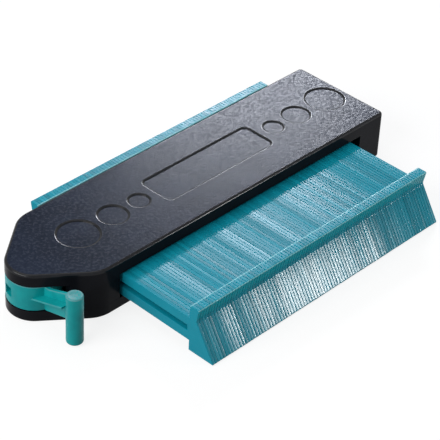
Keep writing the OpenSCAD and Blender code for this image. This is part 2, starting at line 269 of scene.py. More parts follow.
# The span in which most of a noise's values lie, how strongly a plain surface mirrors, and colours
NOISE_LOW = 0.3
NOISE_HIGH = 0.7
PLAIN_MIRROR = 0.5
TOP_DARK = (0.004, 0.009, 0.022)
TOP_PALE = (0.014, 0.022, 0.045)
SIDE_DARK = (0.007, 0.0074, 0.010)
SIDE_MID = (0.012, 0.0124, 0.016)
SIDE_WORN = (0.024, 0.025, 0.031)
EDGE_DARK = (0.003, 0.004, 0.006)
EDGE_PALE = (0.008, 0.009, 0.013)
LAMINA_DARK = (0.003, 0.23, 0.31)
LAMINA_MID = (0.004, 0.30, 0.41)
LAMINA_PALE = (0.006, 0.36, 0.48)
# Painted light, which lightens the outward faces of the laminae's lips
LIP_FRONT_PAINTED_LIGHT = (0.004, 0.46, 0.54)
# Painted highlight, a pale line along the rear and front edges of the lips
LIP_EDGE_PAINTED_HIGHLIGHT = (0.34, 0.78, 0.84)
LEVER_DARK = (0.003, 0.31, 0.33)
LEVER_PALE = (0.005, 0.39, 0.40)
# Scuffs on the peg's top, and a painted highlight along the lever's upper edges
LEVER_SCUFF_AND_PAINTED_HIGHLIGHT = (0.11, 0.34, 0.36)
CLAMP_DARK = (0.035, 0.037, 0.044)
CLAMP_PALE = (0.055, 0.058, 0.068)
STEEL_STAIN = (0.86, 0.87, 0.9)

# Stage
FLOOR_HALF = 3.0
FLOOR_DROP = 0.02 * MM
FLOOR_GLOW = 0.82
SHADOW_SHARE = 0.25
WORLD_LIGHT = 0.17
BACK_TINT = (0.93, 0.97, 1.08)


# Points and outlines

def arc(centre, radius, start, end, steps=ARC_STEPS):
    """Points along an arc in a plane."""
    turns = [start + (end - start) * i / steps for i in range(steps + 1)]
    return [(centre[0] + radius * math.cos(t), centre[1] + radius * math.sin(t)) for t in turns]


def circle(centre, radius, steps=CIRCLE_STEPS):
    """Points of a full circle in a plane, with no repeated point."""
    return arc(centre, radius, 0, math.tau, steps)[:-1]


def rectangle(x0, y0, x1, y1):
    """The corners of a rectangle in a plane."""
    return [(x0, y0), (x1, y0), (x1, y1), (x0, y1)]


def rounded_rectangle(centre, length, width, radius):
    """Points of a rectangle with round corners in a plane."""
    x = length / 2 - radius
    y = width / 2 - radius
    corners = [(x, y), (-x, y), (-x, -y), (x, -y)]
    points = []
    for i, (dx, dy) in enumerate(corners):
        points += arc((centre[0] + dx, centre[1] + dy), radius, i * QUARTER, (i + 1) * QUARTER)
    return points


def round_corner(before, at, after, radius, steps=ROUND_STEPS):
    """Points of a corner between two straight edges, rounded."""
    at = Vector(at)
    u = (Vector(before) - at).normalized()
    v = (Vector(after) - at).normalized()
    half = u.angle(v) / 2
    centre = at + (u + v).normalized() * radius / math.sin(half)
    first = at + u * radius / math.tan(half) - centre
    last = at + v * radius / math.tan(half) - centre
    start = math.atan2(first.y, first.x)
    sweep = math.remainder(math.atan2(last.y, last.x) - start, math.tau)
    return arc(centre, radius, start, start + sweep, steps)


def moved_inwards(points, distances):
    """A closed outline moved to its left, which is inwards if it runs anticlockwise."""
    count = len(points)
    moved = []
    for i, (point, distance) in enumerate(zip(points, distances)):
        here = Vector(point)
        along_in = (here - Vector(points[i - 1])).normalized()
        along_out = (Vector(points[(i + 1) % count]) - here).normalized()
        left_in = Vector((-along_in.y, along_in.x))
        left_out = Vector((-along_out.y, along_out.x))
        shift = (left_in + left_out) * distance / (1 + left_in.dot(left_out))
        moved.append(tuple(here + shift))
    return moved


def evenly_inwards(points, distance):
    """A closed outline moved to its left by the same distance all round."""
    return moved_inwards(points, [distance] * len(points))


def rounding(radius, steps=ROUND_STEPS):
    """(depth, setback) pairs along a rounded edge, from the first face to the second."""
    turns = [QUARTER * i / steps for i in range(steps + 1)]
    return [(radius * (1 - math.cos(t)), radius * (1 - math.sin(t))) for t in turns]


def rounded_span(start, end, start_r, end_r, steps=ROUND_STEPS):
    """(place, inset) pairs along a form whose edges are rounded at both ends."""
    first = [(start + setback, depth) for depth, setback in rounding(start_r, steps)]
    last = [(end - setback, depth) for depth, setback in rounding(end_r, steps)]
    return first[::-1] + last


# Meshes

def flat_at(points, z):
    """An outline in X and Y at a height."""
    return [(x, y, z) for x, y in points]


def upright_at(points, x):
    """An outline in Y and Z at a place along X."""
    return [(x, y, z) for y, z in points]


def across_at(points, y):
    """An outline in X and Z at a place along Y."""
    return [(x, y, z) for x, z in points]


def loft(rings):
    """Vertices and faces of a closed form through rings of equally many points."""
    count = len(rings[0])
    verts = [point for ring in rings for point in ring]
    faces = [tuple(range(count)), tuple(range(len(verts) - count, len(verts)))]
    for level in range(len(rings) - 1):
        base = level * count
        for i in range(count):
            j = (i + 1) % count
            faces.append((base + i, base + j, base + count + j, base + count + i))
    return verts, faces


def pillar(outline, z0, z1):
    """An upright form with the same outline at both heights."""
    return loft([flat_at(outline, z0), flat_at(outline, z1)])


def block(low, high):
    """A box from its lowest and highest corners."""
    return pillar(rectangle(low[0], low[1], high[0], high[1]), low[2], high[2])


def post(centre, radius, z0, z1):
    """An upright cylinder."""
    return pillar(circle(centre, radius), z0, z1)


def in_scene(name, data):
    """A new object of the scene."""
    obj = bpy.data.objects.new(name, data)
    bpy.context.scene.collection.objects.link(obj)
    return obj


def solid(name, *forms):
    """An object made of one or more closed forms."""
    verts, faces = [], []
    for form_verts, form_faces in forms:
        base = len(verts)
        verts += form_verts
        faces += [tuple(base + i for i in face) for face in form_faces]
    mesh = bpy.data.meshes.new(name)
    mesh.from_pydata(verts, [], faces)
    bm = bmesh.new()
    bm.from_mesh(mesh)
    bmesh.ops.recalc_face_normals(bm, faces=bm.faces)
    bm.to_mesh(mesh)
    bm.free()
    return in_scene(name, mesh)


def combine(obj, operation, *forms):
    """Adds closed forms that lie apart from each other to obj, or cuts them out of it."""
    tool = solid("tool", *forms)
    step = obj.modifiers.new("step", "BOOLEAN")
    step.operation = operation
    step.solver = "EXACT"
    step.object = tool
    graph = bpy.context.evaluated_depsgraph_get()
    made = bpy.data.meshes.new_from_object(obj.evaluated_get(graph))
    obj.modifiers.clear()
    old = obj.data
    obj.data = made
    bpy.data.meshes.remove(old)
    bpy.data.meshes.remove(tool.data)


def cut(obj, *forms):
    """Cuts forms out of an object."""
    combine(obj, "DIFFERENCE", *forms)


def add(obj, *forms):
    """Joins forms to an object."""
    combine(obj, "UNION", *forms)


def smooth(obj):
    """Round faces shade smoothly, flat faces stay flat and sharp edges stay sharp."""
    mesh = obj.data
    mesh.polygons.foreach_set("use_smooth", [True] * len(mesh.polygons))
    mesh.set_sharp_from_angle(angle=SMOOTH_ANGLE)
    normals = obj.modifiers.new("flat faces", "WEIGHTED_NORMAL")
    normals.keep_sharp = True
    normals.weight = FLAT_FACE_WEIGHT


def finish_top(obj, top_material, edge_material):
    """Gives the flat top with its recesses, and the rounded edges round them, materials of their own."""
    materials = obj.data.materials
    top_index = len(materials)
    materials.append(top_material)
    edge_index = len(materials)
    materials.append(edge_material)
    for face in obj.data.polygons:
        if face.center.z < TOP_Z - TOP_EDGE_R:
            continue
        if face.normal.z > FLAT:
            face.material_index = top_index
        elif face.normal.z > 1 - FLAT:
            face.material_index = edge_index


def dress(obj, body, slot, material, *nodes):
    """Gives a piece its material and its body, and hides the CAD nodes that it stands for."""
    obj.data.materials.clear()
    obj.data.materials.append(material)
    smooth(obj)
    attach(obj, body)
    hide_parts(*nodes)


# Shader nodes

def node(tree, kind, inputs=None, **settings):
    """A shader node with its settings and its inputs, which are values or other nodes' outputs."""
    made = tree.nodes.new(kind)
    for key, value in settings.items():
        setattr(made, key, value)
    for key, value in (inputs or {}).items():
        if isinstance(value, bpy.types.NodeSocket):
            tree.links.new(value, made.inputs[key])
        else:
            made.inputs[key].default_value = value
    return made


def math_node(tree, operation, *values):
    """The result of a sum on values or other nodes' outputs."""
    return node(tree, "ShaderNodeMath", dict(enumerate(values)), operation=operation).outputs[0]


def plus(tree, first, second):
    """Two values added."""
    return math_node(tree, "ADD", first, second)


def minus(tree, first, second):
    """The second value taken from the first."""
    return math_node(tree, "SUBTRACT", first, second)


def times(tree, first, second):
    """Two values multiplied."""
    return math_node(tree, "MULTIPLY", first, second)


def larger(tree, first, second):
    """The larger of two values."""
    return math_node(tree, "MAXIMUM", first, second)


def between(tree, value, low, high, to_low=0.0, to_high=1.0):
    """A value carried smoothly from one span to another."""
    inputs = {"Value": value, "From Min": low, "From Max": high, "To Min": to_low, "To Max": to_high}
    made = node(tree, "ShaderNodeMapRange", inputs, interpolation_type="SMOOTHSTEP")
    return made.outputs["Result"]


def varied(tree, marks, low, high):
    """A value that varies with a noise."""
    return between(tree, marks, NOISE_LOW, NOISE_HIGH, low, high)


def ramp(tree, value, *stops):
    """A colour that follows a value along stops of (place, colour)."""
    made = node(tree, "ShaderNodeValToRGB", {"Fac": value})
    elements = made.color_ramp.elements
    while len(elements) < len(stops):
        elements.new(1.0)
    for element, (place, colour) in zip(elements, stops):
        element.position = place
        element.color = (*colour, 1.0)
    return made.outputs["Color"]


def mottled(tree, marks, dark, pale):
    """A colour that varies with a noise."""
    return ramp(tree, marks, (NOISE_LOW, dark), (NOISE_HIGH, pale))


def mixed(tree, share, first, second):
    """A node's colour mixed with a plain one, by the plain one's share."""
    # Sockets 6 and 7 and output 2 are the node's colour ones
    inputs = {0: share, 6: first, 7: (*second, 1.0)}
    return node(tree, "ShaderNodeMix", inputs, data_type="RGBA").outputs[2]


def noise(tree, coordinates, size, detail=3.0, stretch=(1, 1, 1)):
    """Noise with marks of about that size in metres, longer along an axis by its stretch."""
    scale = [1 / (size * s) for s in stretch]
    mapped = node(tree, "ShaderNodeMapping", {"Vector": coordinates, "Scale": scale})
    inputs = {"Vector": mapped.outputs["Vector"], "Scale": 1.0, "Detail": detail}
    return node(tree, "ShaderNodeTexNoise", inputs).outputs["Fac"]


def split(tree, vector):
    """The X, Y and Z of a vector."""
    return node(tree, "ShaderNodeSeparateXYZ", {"Vector": vector}).outputs


def facing(tree, coordinates, axis):
    """How far the surface faces along an axis, from -1 to 1."""
    return split(tree, coordinates.outputs["Normal"])[axis]


def sideways(tree, coordinates):
    """How far the surface faces along X, either way, from 0 to 1."""
    return math_node(tree, "ABSOLUTE", facing(tree, coordinates, "X"))


def upper_edge(tree, coordinates, rise, fall, most=1.0):
    """A share that is large where the surface faces partly upwards, as rounded upper edges do."""
    up = facing(tree, coordinates, "Z")
    return times(tree, between(tree, up, *rise), between(tree, up, *fall, 0.0, most))


def bump(tree, shader, height, strength, depth):
    """Raises a material's surface by a height that other nodes give."""
    inputs = {"Height": height, "Strength": strength, "Distance": depth}
    made = node(tree, "ShaderNodeBump", inputs)
    tree.links.new(made.outputs["Normal"], shader.inputs["Normal"])


def new_material(name):
    """A material, its node tree, its principled shader and its coordinates."""
    material = bpy.data.materials.new(name)
    material.use_nodes = True
    tree = material.node_tree
    shader = tree.nodes["Principled BSDF"]
    return material, tree, shader, node(tree, "ShaderNodeTexCoord")


def finish_shader(tree, shader, colour, rough, mirror):
    """Gives a shader its colour and roughness from nodes, and how strongly it mirrors all over."""
    shader.inputs["Specular IOR Level"].default_value = mirror
    tree.links.new(colour, shader.inputs["Base Color"])
    tree.links.new(rough, shader.inputs["Roughness"])


# Materials

def housing_top_material():
    """Black moulded plastic with the fine grain of the flat top."""
    material, tree, shader, at = new_material("moulded_black_top")
    place = at.outputs["Object"]
    grain = noise(tree, place, size=1.1 * MM)
    clouds = noise(tree, place, size=16 * MM)
    speckle = between(tree, grain, 0.35, 0.65, to_high=0.4)
    tint = plus(tree, varied(tree, clouds, low=0.0, high=0.6), speckle)
    colour = ramp(tree, tint, (0.0, TOP_DARK), (1.0, TOP_PALE))
    finish_shader(tree, shader, colour, rough=varied(tree, grain, low=0.17, high=0.31), mirror=0.05)
    bump(tree, shader, grain, strength=1.0, depth=0.045 * MM)
    return material


def housing_side_material():
    """Black moulded plastic of the walls, nearly smooth, worn a little paler along the edges."""
    material, tree, shader, at = new_material("moulded_black_side")
    place = at.outputs["Object"]
    skin = noise(tree, place, size=0.6 * MM)
    clouds = noise(tree, place, size=14 * MM)
    rubs = between(tree, noise(tree, place, size=3 * MM, detail=4.0), 0.45, 0.7)
    worn = times(tree, upper_edge(tree, at, rise=(0.2, 0.5), fall=(0.98, 0.8)), rubs)
    tint = plus(tree, clouds, times(tree, worn, 0.4))
    colour = ramp(tree, tint, (NOISE_LOW, SIDE_DARK), (NOISE_HIGH, SIDE_MID), (1.0, SIDE_WORN))
    finish_shader(tree, shader, colour, rough=varied(tree, skin, low=0.16, high=0.24), mirror=0.04)
    bump(tree, shader, skin, strength=0.1, depth=0.02 * MM)
    return material


def housing_edge_material():
    """Black moulded plastic, rubbed shiny along the rounded upper edges."""
    material, tree, shader, at = new_material("moulded_black_edge")
    place = at.outputs["Object"]
    rubbed = noise(tree, place, size=3 * MM, detail=4.0)
    colour = mottled(tree, rubbed, EDGE_DARK, EDGE_PALE)
    finish_shader(tree, shader, colour, rough=varied(tree, rubbed, low=0.12, high=0.2), mirror=0.2)
    bump(tree, shader, noise(tree, place, size=0.6 * MM), strength=0.1, depth=0.02 * MM)
    return material


def lip_front(tree, at, reach, z):
    """How far a point lies on the outward side of a lamina's lip, where light is painted."""
    upper = between(tree, z, NECK_Z, (NECK_Z + LIP_Z) / 2, to_high=0.8)
    outer = between(tree, reach, LIP_BACK_W, 2 * LIP_BACK_W)
    sloping = between(tree, facing(tree, at, "Z"), 0.5, 0.2)
    outward = between(tree, sideways(tree, at), 0.4, 0.1)
    return times(tree, times(tree, upper, outer), times(tree, sloping, outward))


def lip_edges(tree, reach, z):
    """How far a point lies on the rear or the front edge of a lamina's lip, where a highlight is painted."""
    raised = between(tree, z, LIP_Z - LIP_EDGE_R, LIP_Z - LIP_EDGE_R / 2, to_high=0.75)
    rear = between(tree, reach, LIP_BACK_W, LIP_BACK_W / 2)
    fore = between(tree, reach, LIP_W - LIP_EDGE_R, LIP_W - LIP_EDGE_R / 2)
    return times(tree, raised, larger(tree, rear, fore))


def lamina_colour(tree, at):
    """Teal, a little different on each lamina, with painted light on the lips' fronts and a painted highlight
    along their edges.
    """
    place = at.outputs["Object"]
    x, y, z = split(tree, place)
    number = math_node(tree, "FLOOR", math_node(tree, "DIVIDE", minus(tree, x, STACK_X0), PITCH))
    chance = node(tree, "ShaderNodeTexWhiteNoise", {"W": number}, noise_dimensions="1D").outputs["Value"]
    blotches = noise(tree, place, size=6 * MM, stretch=(0.3, 2, 1))
    tint = plus(tree, times(tree, chance, 0.6), times(tree, blotches, 0.4))
    drawn = ramp(tree, tint, (0.1, LAMINA_DARK), (0.5, LAMINA_MID), (0.9, LAMINA_PALE))
    reach = larger(tree, minus(tree, FRONT_Y, y), minus(tree, y, BACK_Y))
    # Painted light: the outward faces of the lips are mixed towards a lighter teal
    moulded = mixed(tree, lip_front(tree, at, reach, z), drawn, LIP_FRONT_PAINTED_LIGHT)
    # Painted highlight: a pale line along the lips' rear and front edges
    return mixed(tree, lip_edges(tree, reach, z), moulded, LIP_EDGE_PAINTED_HIGHLIGHT)


def lamina_material():
    """Teal plastic, drawn along its length and dull on its broad sides."""
    material, tree, shader, at = new_material("lamina_teal")
    streaks = noise(tree, at.outputs["Object"], size=0.3 * MM, detail=2.0, stretch=(1, 60, 60))
    drawn = between(tree, facing(tree, at, "Z"), 0.8, 0.98, to_low=0.13, to_high=0.25)
    dull = between(tree, sideways(tree, at), 0.1, 0.4, to_low=0.1, to_high=0.5)
    rough = plus(tree, larger(tree, drawn, dull), varied(tree, streaks, low=-0.03, high=0.05))
    finish_shader(tree, shader, lamina_colour(tree, at), rough=rough, mirror=0.1)
    bump(tree, shader, streaks, strength=0.25, depth=0.003 * MM)
    return material


def lever_material():
    """Green-teal plastic with a faint moulded skin, scuffed on the peg's top, with a painted highlight along
    its upper edges.
    """
    material, tree, shader, at = new_material("lever_teal")
    place = at.outputs["Object"]
    skin = noise(tree, place, size=0.7 * MM)
    moulded = mottled(tree, noise(tree, place, size=5 * MM), LEVER_DARK, LEVER_PALE)
    scuffs = between(tree, noise(tree, place, size=0.8 * MM), 0.3, 0.6)
    peg_top = between(tree, split(tree, place)["Z"], PEG_Z1 - 2 * PEG_DISH, PEG_Z1 - PEG_DISH)
    # Painted highlight: the rounded upper edges are mixed towards a pale teal; the peg's top gets scuffs
    edge = upper_edge(tree, at, rise=(0.25, 0.5), fall=(0.95, 0.85), most=0.9)
    share = larger(tree, times(tree, scuffs, peg_top), edge)
    colour = mixed(tree, share, moulded, LEVER_SCUFF_AND_PAINTED_HIGHLIGHT)
    finish_shader(tree, shader, colour, rough=varied(tree, skin, low=0.28, high=0.42), mirror=0.15)
    bump(tree, shader, skin, strength=0.12, depth=0.02 * MM)
    return material


def clamp_material():
    """Grey moulded plastic of the clamp plate, with flow lines."""
    material, tree, shader, at = new_material("clamp_grey")
    place = at.outputs["Object"]
    flow = noise(tree, place, size=2 * MM, detail=4.0, stretch=(1, 4, 1))
    colour = mottled(tree, flow, CLAMP_DARK, CLAMP_PALE)
    finish_shader(tree, shader, colour, rough=varied(tree, flow, low=0.35, high=0.5), mirror=PLAIN_MIRROR)
    bump(tree, shader, noise(tree, place, size=0.4 * MM, detail=2.0), strength=0.15, depth=0.02 * MM)
    return material


def steel_material(name, light, stretch):
    """Ground steel with fine marks along one axis."""
    material, tree, shader, at = new_material(name)
    place = at.outputs["Object"]
    marks = noise(tree, place, size=0.15 * MM, stretch=stretch)
    stained = [light * share for share in STEEL_STAIN]
    colour = mottled(tree, noise(tree, place, size=4 * MM), stained, (light, light, light))
    shader.inputs["Metallic"].default_value = 1.0
    finish_shader(tree, shader, colour, rough=varied(tree, marks, low=0.22, high=0.4), mirror=PLAIN_MIRROR)
    bump(tree, shader, marks, strength=0.1, depth=0.01 * MM)
    return material


# Housing

def housing_plan(inset=0.0):
    """The housing's outline seen from above: a round nose, two shoulders and a square end."""
    reach = (math.cos(TAPER) * (SIDE_Y - SHOULDER_R) + SHOULDER_R - NOSE_R) / math.sin(TAPER)
    shoulder = (PIVOT_X + reach, SIDE_Y - SHOULDER_R)
    corner = (END_X - END_CORNER_R, SIDE_Y - END_CORNER_R)
    bend = QUARTER + TAPER
    points = arc((corner[0], -corner[1]), END_CORNER_R - inset, -QUARTER, 0)
    points += arc(corner, END_CORNER_R - inset, 0, QUARTER)
    points += arc(shoulder, SHOULDER_R - inset, QUARTER, bend)
    points += arc((PIVOT_X, 0), NOSE_R - inset, bend, math.tau - bend, NOSE_STEPS)
    points += arc((shoulder[0], -shoulder[1]), SHOULDER_R - inset, -bend, -QUARTER)
    return points


def housing_form(z0, z1, lower_r, upper_r):
    """The housing's outer form between two heights, with its lower and upper edges rounded."""
    return loft([flat_at(housing_plan(inset), z) for z, inset in rounded_span(z0, z1, lower_r, upper_r)])


def rib_bays(z0, z1):
    """The hollows between the ribs that carry the laminae."""
    bay_l = (OPENING_X1 - OPENING_X0 - RIB) / BAYS - RIB
    starts = [OPENING_X0 + RIB + i * (bay_l + RIB) for i in range(BAYS)]
    return [block((x, -INNER_Y, z0), (x + bay_l, INNER_Y, z1)) for x in starts]


def stack_opening():
    """The tunnel that the laminae slide through, with rounded mouths."""
    depths = [(-CUT, MOUTH_R)] + rounding(MOUTH_R)
    places = [(depth - SIDE_Y, outset) for depth, outset in depths]
    places += [(-y, outset) for y, outset in reversed(places)]
    rings = []
    for y, outset in places:
        outline = rectangle(OPENING_X0 - outset, PARTING_Z - CUT, OPENING_X1 + outset, TUNNEL_TOP + outset)
        rings.append(across_at(outline, y))
    return loft(rings)


def chamber():
    """The room for the cam in the nose, open at the tip."""
    slope = math.tan(TAPER)
    wall_x = PIVOT_X + OPENING_PAST_PIVOT
    wall_y = (NOSE_R - WALL) / math.cos(TAPER) + OPENING_PAST_PIVOT * slope
    corner_x = wall_x + (INNER_Y - wall_y) / slope
    side = [(wall_x, wall_y), (corner_x, INNER_Y), (OPENING_X0 + CUT, INNER_Y)]
    outline = [(x, -y) for x, y in side] + side[::-1]
    return pillar(outline, PARTING_Z - CUT, NOSE_GAP_TOP)


def saddles(z0, z1):
    """The blocks that hold the left ends of the guide rods."""
    x0, x1 = rod_low.x, rod_low.x + SADDLE_L
    return [block((x0, y - SADDLE_W / 2, z0), (x1, y + SADDLE_W / 2, z1)) for y in (-ROD_Y, ROD_Y)]


def rod_bores(x1):
    """The seats of the two guide rods."""
    forms = []
    for y in (-ROD_Y, ROD_Y):
        outline = circle((y, ROD_Z), ROD_BORE_R)
        forms.append(loft([upright_at(outline, rod_low.x - CUT), upright_at(outline, x1)]))
    return forms


def screw_posts(radius, z0, z1):
    """An upright cylinder at each screw."""
    return [post(place, radius, z0, z1) for place in SCREW_PLACES]


def recess(outline_at):
    """A shallow recess in the top face with a rounded rim, from an outline at an outset."""
    bend = math.acos(1 - RECESS / RECESS_RIM_R)
    half = RECESS_RIM_R * math.sin(bend) / 2
    levels = [(TOP_Z + CUT, half)]
    for i in range(ROUND_STEPS + 1):
        turn = bend * i / ROUND_STEPS
        levels.append((TOP_Z - RECESS_RIM_R * (1 - math.cos(turn)), half - RECESS_RIM_R * math.sin(turn)))
    return loft([flat_at(outline_at(outset), z) for z, outset in levels])


def panel_recess():
    """The bare panel in the middle of the top face."""
    def outline_at(outset):
        return rounded_rectangle((RECESS_X, 0), PANEL_L + 2 * outset, PANEL_W + 2 * outset, PANEL_R + outset)
    return recess(outline_at)


def disc_recess(x, diameter):
    """A round recess in the top face."""
    def outline_at(outset):
        return circle((x, 0), diameter / 2 + outset)
    return recess(outline_at)


def top_recesses():
    """The panel and two rows of round recesses that grow towards the ends."""
    forms = [panel_recess()]
    place, size = DISC_FIRST, DISC_D
    for _ in range(DISCS):
        forms += [disc_recess(RECESS_X - place, size), disc_recess(RECESS_X + place, size)]
        place += size * (1 + DISC_GROWTH) / 2 + DISC_LAND
        size *= DISC_GROWTH
    return forms


def upper_housing(material, top_material, edge_material):
    """The upper shell with its top face, tunnel, ribs, bosses, saddles and stop."""
    obj = solid("upper_housing", housing_form(PARTING_Z, TOP_Z, SEAM_R, TOP_EDGE_R))
    below = PARTING_Z - CUT
    roof = TOP_Z - WALL
    in_roof = TOP_Z - WALL / 2
    split_z = ROD_Z + SPLIT / 2
    nose_low = (PIVOT_X - SIDE_Y, -2 * SIDE_Y, below)
    nose_high = (PIVOT_X + OPENING_PAST_PIVOT, 2 * SIDE_Y, NOSE_GAP_TOP)
    cut(obj, stack_opening())
    cut(obj, *rib_bays(below, roof))
    cut(obj, chamber())
    cut(obj, block(nose_low, nose_high))
    cut(obj, block((OPENING_X1 + WALL, -INNER_Y, below), (END_X - WALL, INNER_Y, roof)))
    add(obj, *screw_posts(BOSS_R, PARTING_Z, in_roof))
    add(obj, *saddles(split_z, in_roof))
    add(obj, block((STOP_X, -STOP_W / 2, split_z), (OPENING_X1 + CUT, STOP_W / 2, in_roof)))
    cut(obj, *rod_bores(rod_high.x))
    cut(obj, *screw_posts(SCREW_R, below, screw_high.z))
    cut(obj, post((PIVOT_X, 0), PIN_SEAT_R, NOSE_GAP_TOP - CUT, pin_high.z))
    cut(obj, *top_recesses())
    dress(obj, "housing", "housing", material, "upper_shell")
    finish_top(obj, top_material, edge_material)


def lower_housing(material):
    """The lower shell with its ribs, saddles, stop and screw holes."""
    obj = solid("lower_housing", housing_form(0.0, PARTING_Z, BASE_EDGE_R, SEAM_R))
    above = PARTING_Z + CUT
    split_z = ROD_Z - SPLIT / 2
    cut(obj, *rib_bays(WALL, above))
    add(obj, *saddles(WALL, split_z))
    add(obj, block((STOP_X, -STOP_W / 2, WALL / 2), (OPENING_X1 - SPLIT, STOP_W / 2, split_z)))
    cut(obj, *rod_bores(OPENING_X1))
    cut(obj, *screw_posts(SCREW_R + SCREW_ROOM, -CUT, above))
    cut(obj, *screw_posts(SCREW_HEAD_R + SCREW_ROOM, -CUT, SCREW_SEAT_Z))
    cut(obj, post((PIVOT_X, 0), PIN_SEAT_R, pin_low.z, above))
    dress(obj, "housing", "housing", material, "lower_shell")


# Laminae

def head_outline():
    """A lamina's head, outwards from its rear face, in distance and height."""
    lip, neck, tip = (LIP_W, LIP_Z), (NECK_W, NECK_Z), (TIP_REACH, HEAD_Z + TIP_H)
    rear, land = (0, LIP_Z - LIP_BACK_DROP), (LIP_BACK_W, LIP_Z)
    points = round_corner((0, BAND_TOP), rear, land, LIP_BACK_R) + [land]
    points += round_corner(land, lip, neck, LIP_EDGE_R)
    points += round_corner(lip, neck, tip, NECK_R)
    return points + [tip, (TIP_REACH, HEAD_Z), (0, HEAD_Z)]


def lamina_outline():
    """The outer outline of a lamina in Y and Z, anticlockwise seen from +X."""
    head = head_outline()
    front = [(FRONT_Y - out, z) for out, z in head]
    back = [(BACK_Y + out, z) for out, z in head]
    points = front + [(FRONT_Y, BAND_Z), (BACK_Y, BAND_Z)] + back[::-1]
    return points + [(BACK_Y, BAND_TOP), (FRONT_Y, BAND_TOP)]


def slot_outline():
    """The guide slot of a lamina in Y and Z, clockwise seen from +X."""
    half = SLOT_H / 2
    return rectangle(FRONT_Y + SLOT_END, ROD_Z - half, BACK_Y - SLOT_END, ROD_Z + half)[::-1]


def lamina_edges(outline):
    """The rounding at each point of a lamina's outline: least on the bars."""
    edges = []
    for y, z in outline:
        if z > BAND_TOP:
            edges.append(LIP_SIDE)
        else:
            edges.append(LAMINA_EDGE if FRONT_Y <= y <= BACK_Y else HEAD_EDGE)
    return edges


def lamina_form(x0, x1):
    """One lamina: a frame with rounded edges round its outline and round its slot."""
    steps = rounding(1.0, SMALL_EDGE_STEPS)
    levels = [(x0, 1, depth, setback) for depth, setback in steps]
    levels += [(x1, -1, depth, setback) for depth, setback in reversed(steps)]
    outline, slot = lamina_outline(), slot_outline()
    verts, faces, first_caps, last_caps = [], [], [], []
    for loop, edges in ((outline, lamina_edges(outline)), (slot, [LAMINA_EDGE] * len(slot))):
        count = len(loop)
        for level, (x, way, depth, setback) in enumerate(levels):
            base = len(verts)
            inset = moved_inwards(loop, [setback * edge for edge in edges])
            ring = [(x + way * depth * edge, y, z) for (y, z), edge in zip(inset, edges)]
            verts += ring
            if level == 0:
                first_caps.append((base, ring))
                continue
            if level == len(levels) - 1:
                last_caps.append((base, ring))
            for i in range(count):
                j = (i + 1) % count
                faces.append((base - count + i, base - count + j, base + j, base + i))
    for rings in (first_caps, last_caps):
        numbers = [base + i for base, ring in rings for i in range(len(ring))]
        triangles = tessellate_polygon([[Vector(p) for p in ring] for _, ring in rings])
        faces += [tuple(numbers[i] for i in triangle) for triangle in triangles]
    return verts, faces


def stack_lean(x):
    """The lean of the stack at a place, straight between the places given."""
    for (x0, lean0), (x1, lean1) in zip(STACK_LEAN, STACK_LEAN[1:]):
        if x <= x1:
            return lean0 + (lean1 - lean0) * (x - x0) / (x1 - x0)
    return lean1


def settled(form, middle, pose):
    """A lamina leaning, turned and pushed by small amounts that its clearances allow."""
    verts, faces = form
    lean, turn, out = pose
    bar_lean = lean + stack_lean(middle)
    moved = []
    for x, y, z in verts:
        reach = max(FRONT_Y - y, y - BACK_Y)
        if reach < HEAD_EDGE and z < BAND_TOP + LAMINA_EDGE:
            slope = bar_lean
        elif z > LIP_Z - LIP_EDGE_R:
            slope = bar_lean * LIP_SHARE if reach > 2 * LIP_BACK_W else 0.0
        else:
            slope = lean * HEAD_SHARE
        moved.append((x, y + out + turn * (x - middle), z + slope * (x - middle)))
    return moved, faces


def next_pose(pose, chance):
    """Small chance amounts of lean, turn and push, drawn near those of the lamina before."""
    limits = (LEAN, TURN, STAND_OUT)
    return [LIKENESS * old + chance.uniform(-limit, limit) for old, limit in zip(pose, limits)]


def lamina_pairs(material):
    """All the laminae, as one piece for each pair that slides together."""
    chance = random.Random(LEAN_SEED)
    pose = (0.0, 0.0, 0.0)
    for index, name in enumerate(PAIRS):
        forms = []
        for i in range(PER_PAIR):
            x0 = STACK_X0 + (PER_PAIR * index + i) * PITCH + LAMINA_GAP / 2
            pose = next_pose(pose, chance)
            middle = x0 + LAMINA_T / 2
            forms.append(settled(lamina_form(x0, x0 + LAMINA_T), middle, pose))
        obj = solid(name.replace("lamina_pair", "laminae"), *forms)
        dress(obj, name, "lamina", material, name)


# Lever

def half_disc(radius):
    """The round side of the drum, about the pivot."""
    return arc((0, 0), radius, DRUM_FROM, DRUM_TO, DRUM_STEPS)


def cam_outline():
    """The snail cam: its distance from the pivot to a flat follower grows evenly with the turn."""
    start = DRUM_TO - math.tau
    points = []
    for i in range(DRUM_STEPS + 1):
        turn = start + (DRUM_FROM - start) * i / DRUM_STEPS
        reach = CAM_REST - CAM_RISE * turn
        points.append((reach * math.cos(turn) + CAM_RISE * math.sin(turn),
                       reach * math.sin(turn) - CAM_RISE * math.cos(turn)))
    return points


def drum_form():
    """The drum with the cam on its far side, its edges rounded."""
    outline = [(PIVOT_X + x, y) for x, y in half_disc(DRUM_R) + cam_outline()[1:-1]]
    levels = rounded_span(DRUM_Z0, DRUM_Z1, DRUM_EDGE, DRUM_EDGE, SMALL_EDGE_STEPS)
    return loft([flat_at(evenly_inwards(outline, inset), z) for z, inset in levels])


